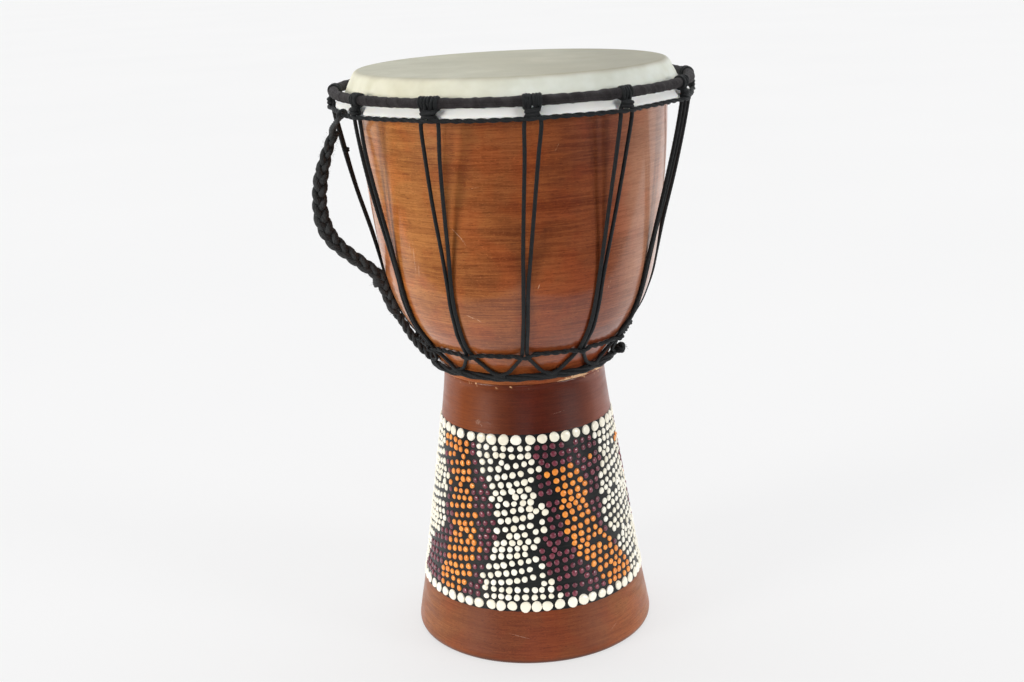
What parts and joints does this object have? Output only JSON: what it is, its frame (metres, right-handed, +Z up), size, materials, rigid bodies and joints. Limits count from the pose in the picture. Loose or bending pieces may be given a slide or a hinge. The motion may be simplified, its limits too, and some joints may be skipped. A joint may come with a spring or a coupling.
{
  "type": "djembe",
  "caption": "Goblet-shaped wooden hand drum with a rope-tensioned goatskin head, laced black cords and a braided rope handle.",
  "frame": {"origin": "on the floor, on the drum's own axis, at the middle of the foot's rim", "axes": "+Z up along the drum's axis to the playing skin, -Y towards the player, and the rope handle on the -X side"},
  "size_m": [0.2614, 0.249, 0.4],
  "materials": {
    "bowl_wood": "satin lacquer over turned mahogany",
    "foot_wood": "dark satin stain with a black painted band and raised paint dots",
    "goatskin": "matt dried goatskin",
    "hoop_steel": "drawn steel rod",
    "ring_cloth": "black cotton strip wound on the ring",
    "black_cord": "black braided nylon cord"
  },
  "bodies": {
    "drum": {"bowl": "bowl_wood", "foot": "foot_wood", "drum_head": "goatskin", "flesh_hoop": "hoop_steel", "crown_ring_core": "hoop_steel", "crown_ring_wrap": "ring_cloth", "keeper_cord": "black_cord", "tension_cord_01": "black_cord", "tension_cord_02": "black_cord", "tension_cord_03": "black_cord", "tension_cord_04": "black_cord", "tension_cord_05": "black_cord", "tension_cord_06": "black_cord", "tension_cord_07": "black_cord", "tension_cord_08": "black_cord", "tension_cord_09": "black_cord", "tension_cord_10": "black_cord", "tension_cord_11": "black_cord", "tension_cord_12": "black_cord", "weave_cord": "black_cord", "bottom_ring_cord": "black_cord", "bottom_end_knot": "black_cord", "handle_top_loop": "black_cord", "handle_lower_tie": "black_cord", "handle_tail": "black_cord", "handle_tail_cords": "black_cord"},
    "handle": {"handle_braid": "black_cord"}
  },
  "joints": [
    {"name": "handle_swing", "type": "hinge", "parent": "drum", "child": "handle", "pos_m": [-0.11844, -0.01665, 0.3615], "axis": [-0.2126, -0.0299, 0.9767], "range_deg": [-55, 55]}
  ]
}
